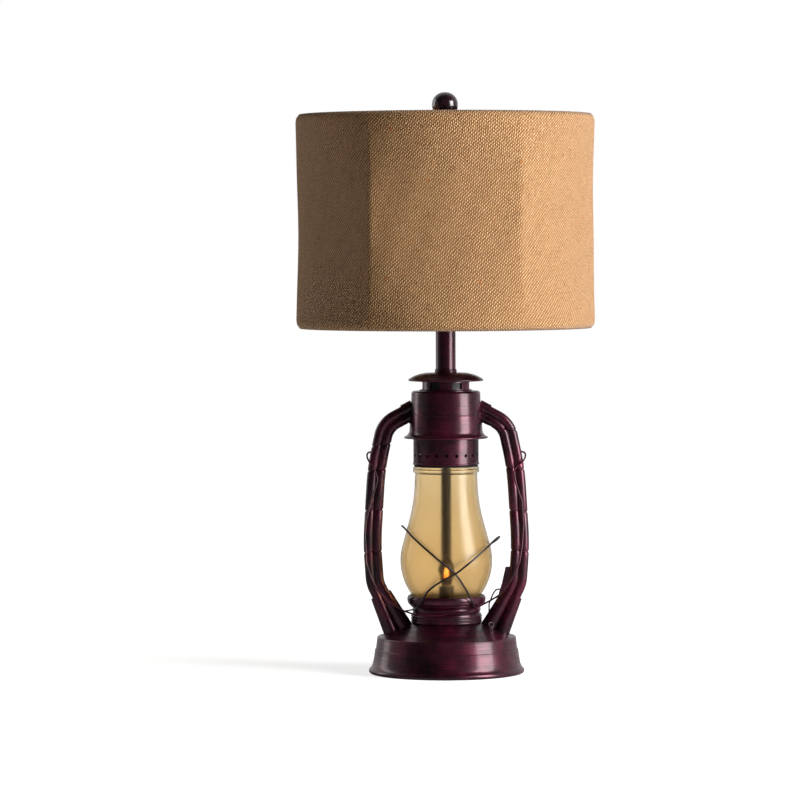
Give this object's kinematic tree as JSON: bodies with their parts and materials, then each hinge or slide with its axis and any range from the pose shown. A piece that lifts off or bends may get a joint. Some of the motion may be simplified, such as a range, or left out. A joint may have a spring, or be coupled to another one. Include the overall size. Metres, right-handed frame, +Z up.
{
  "type": "table lamp",
  "caption": "Table lamp shaped like a hurricane lantern, with an amber glass globe, a wire bail, a night light and a burlap drum shade.",
  "frame": {"origin": "centre of the base, on the surface the lamp stands on", "axes": "+Z up, -Y towards the front, +X to the right as seen from the front"},
  "size_m": [0.365, 0.3657, 0.7113],
  "materials": {
    "oxblood_paint": "dark oxblood antique paint, satin gloss, rubbed to black in places",
    "wire_paint": "dark antique paint over drawn wire, satin gloss",
    "black_paint": "matt black",
    "finial_gloss": "dark oxblood enamel, high gloss",
    "amber_glass": "amber tinted clear glass with small bubbles",
    "warm_bulb_glass": "clear glass, lit warm",
    "frosted_bulb_glass": "frosted white inside",
    "black_plastic": "black moulded phenolic",
    "cardboard_liner": "dark pressed fibre",
    "brass": "brushed, lightly aged",
    "steel": "plain zinc grey",
    "nickel": "nickel plated",
    "shade_wire": "white enamel wire",
    "burlap": "natural burlap, open plain weave with slubs",
    "felt": "black felt",
    "cast_iron": "rough cast",
    "rubber": "black, smooth"
  },
  "bodies": {
    "lamp": {"ballast": "cast_iron", "base_plate": "steel", "base_shell": "oxblood_paint", "bulb_base": "brass", "burner_collar": "oxblood_paint", "centre_pipe": "steel", "chimney_cap": "oxblood_paint", "chimney_drum": "oxblood_paint", "cord_bushing": "rubber", "felt_pad": "felt", "gallery_cup": "oxblood_paint", "glass_globe": "amber_glass", "globe_plate": "black_paint", "guard_eyelets": "wire_paint", "guard_tie": "wire_paint", "guard_wire_a": "wire_paint", "guard_wire_b": "wire_paint", "harp": "nickel", "harp_saddle": "nickel", "harp_stud": "nickel", "inner_flue": "black_paint", "lever_eye": "wire_paint", "lever_guide": "oxblood_paint", "lift_lever": "wire_paint", "main_bulb": "frosted_bulb_glass", "neck_cap": "oxblood_paint", "neck_ferrule": "oxblood_paint", "neck_tube": "oxblood_paint", "night_light_base": "brass", "night_light_bracket": "steel", "night_light_bulb": "warm_bulb_glass", "night_light_socket": "black_plastic", "perforated_band": "oxblood_paint", "pipe_nut": "steel", "side_tube_left": "oxblood_paint", "side_tube_right": "oxblood_paint", "socket_cap": "brass", "socket_liner": "cardboard_liner", "socket_shell": "brass", "tube_flange_left": "oxblood_paint", "tube_flange_right": "oxblood_paint", "tube_foot_left": "oxblood_paint", "tube_foot_right": "oxblood_paint", "vent_collar": "oxblood_paint"},
    "shade": {"shade_cover": "burlap", "shade_ribs": "shade_wire", "shade_ring_bottom": "shade_wire", "shade_ring_top": "shade_wire", "shade_spider": "nickel"},
    "finial_body": {"finial": "finial_gloss"},
    "bail": {"bail_handle": "wire_paint"},
    "knob": {"switch_knob": "black_plastic"},
    "sleeve_left": {"harp_sleeve_left": "nickel"},
    "sleeve_right": {"harp_sleeve_right": "nickel"}
  },
  "joints": [
    {"name": "bail_swing", "type": "hinge", "parent": "lamp", "child": "bail", "pos_m": [0, 0, 0.2712], "axis": [-1, 0, 0], "range_deg": [0, 130]},
    {"name": "switch_turn", "type": "hinge", "parent": "lamp", "child": "knob", "pos_m": [0, 0.03, 0.4641], "axis": [0, 1, 0], "continuous": true},
    {"name": "shade_turn", "type": "hinge", "parent": "lamp", "child": "shade", "pos_m": [0, 0, 0.667], "axis": [0, 0, 1], "continuous": true},
    {"name": "finial_turn", "type": "hinge", "parent": "lamp", "child": "finial_body", "pos_m": [0, 0, 0.69], "axis": [0, 0, 1], "continuous": true},
    {"name": "sleeve_left_slide", "type": "slide", "parent": "lamp", "child": "sleeve_left", "axis": [0, 0, 1], "range_m": [0, 0.008]},
    {"name": "sleeve_right_slide", "type": "slide", "parent": "lamp", "child": "sleeve_right", "axis": [0, 0, 1], "range_m": [0, 0.008]}
  ]
}
